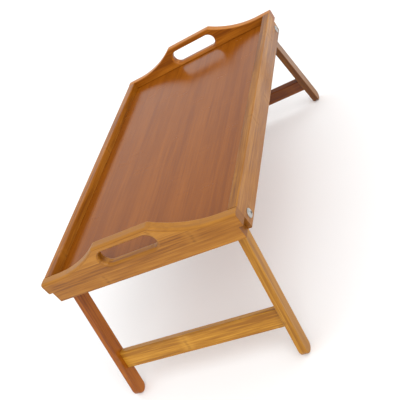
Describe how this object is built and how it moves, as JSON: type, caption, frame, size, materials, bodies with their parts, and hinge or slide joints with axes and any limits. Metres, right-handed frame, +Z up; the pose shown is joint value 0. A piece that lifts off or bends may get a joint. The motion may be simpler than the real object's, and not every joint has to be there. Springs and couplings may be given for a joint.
{
  "type": "folding tray table",
  "caption": "Rectangular bamboo bed tray with slotted handle ends and a raised rim, on splayed leg frames that fold flat under it.",
  "frame": {"origin": "on the floor under the middle of the tray, with the legs open", "axes": "+X along the tray from the left handle to the right handle, +Y from the front rail to the rear rail, +Z up"},
  "size_m": [0.5786, 0.3004, 0.2332],
  "materials": {
    "frame_bamboo": "satin varnished bamboo, golden brown",
    "panel_bamboo": "glossy varnished carbonised bamboo, red brown",
    "dowel_beech": "plain hardwood dowel",
    "bolt_steel": "zinc plated",
    "spacer_nylon": "natural nylon"
  },
  "bodies": {
    "tray": {"tray_panel": "panel_bamboo", "front_rail": "frame_bamboo", "rear_rail": "frame_bamboo", "left_end_board": "frame_bamboo", "right_end_board": "frame_bamboo", "left_front_corner_dowel": "dowel_beech", "left_front_pivot_bolt": "bolt_steel", "left_front_spacer_washer": "spacer_nylon", "left_front_inner_washer": "bolt_steel", "left_front_lock_nut": "bolt_steel", "left_rear_corner_dowel": "dowel_beech", "left_rear_pivot_bolt": "bolt_steel", "left_rear_spacer_washer": "spacer_nylon", "left_rear_inner_washer": "bolt_steel", "left_rear_lock_nut": "bolt_steel", "right_front_corner_dowel": "dowel_beech", "right_front_pivot_bolt": "bolt_steel", "right_front_spacer_washer": "spacer_nylon", "right_front_inner_washer": "bolt_steel", "right_front_lock_nut": "bolt_steel", "right_rear_corner_dowel": "dowel_beech", "right_rear_pivot_bolt": "bolt_steel", "right_rear_spacer_washer": "spacer_nylon", "right_rear_inner_washer": "bolt_steel", "right_rear_lock_nut": "bolt_steel"},
    "left_leg_frame": {"left_crossbar": "frame_bamboo", "left_front_leg": "frame_bamboo", "left_front_bar_dowels": "dowel_beech", "left_rear_leg": "frame_bamboo", "left_rear_bar_dowels": "dowel_beech"},
    "right_leg_frame": {"right_crossbar": "frame_bamboo", "right_front_leg": "frame_bamboo", "right_front_bar_dowels": "dowel_beech", "right_rear_leg": "frame_bamboo", "right_rear_bar_dowels": "dowel_beech"}
  },
  "joints": [
    {"name": "left_leg_fold", "type": "hinge", "parent": "tray", "child": "left_leg_frame", "pos_m": [-0.22209, 0, 0.18287], "axis": [0, -1, 0], "range_deg": [0, 108.3]},
    {"name": "right_leg_fold", "type": "hinge", "parent": "tray", "child": "right_leg_frame", "pos_m": [0.22209, 0, 0.18287], "axis": [0, 1, 0], "range_deg": [0, 108.3]}
  ]
}
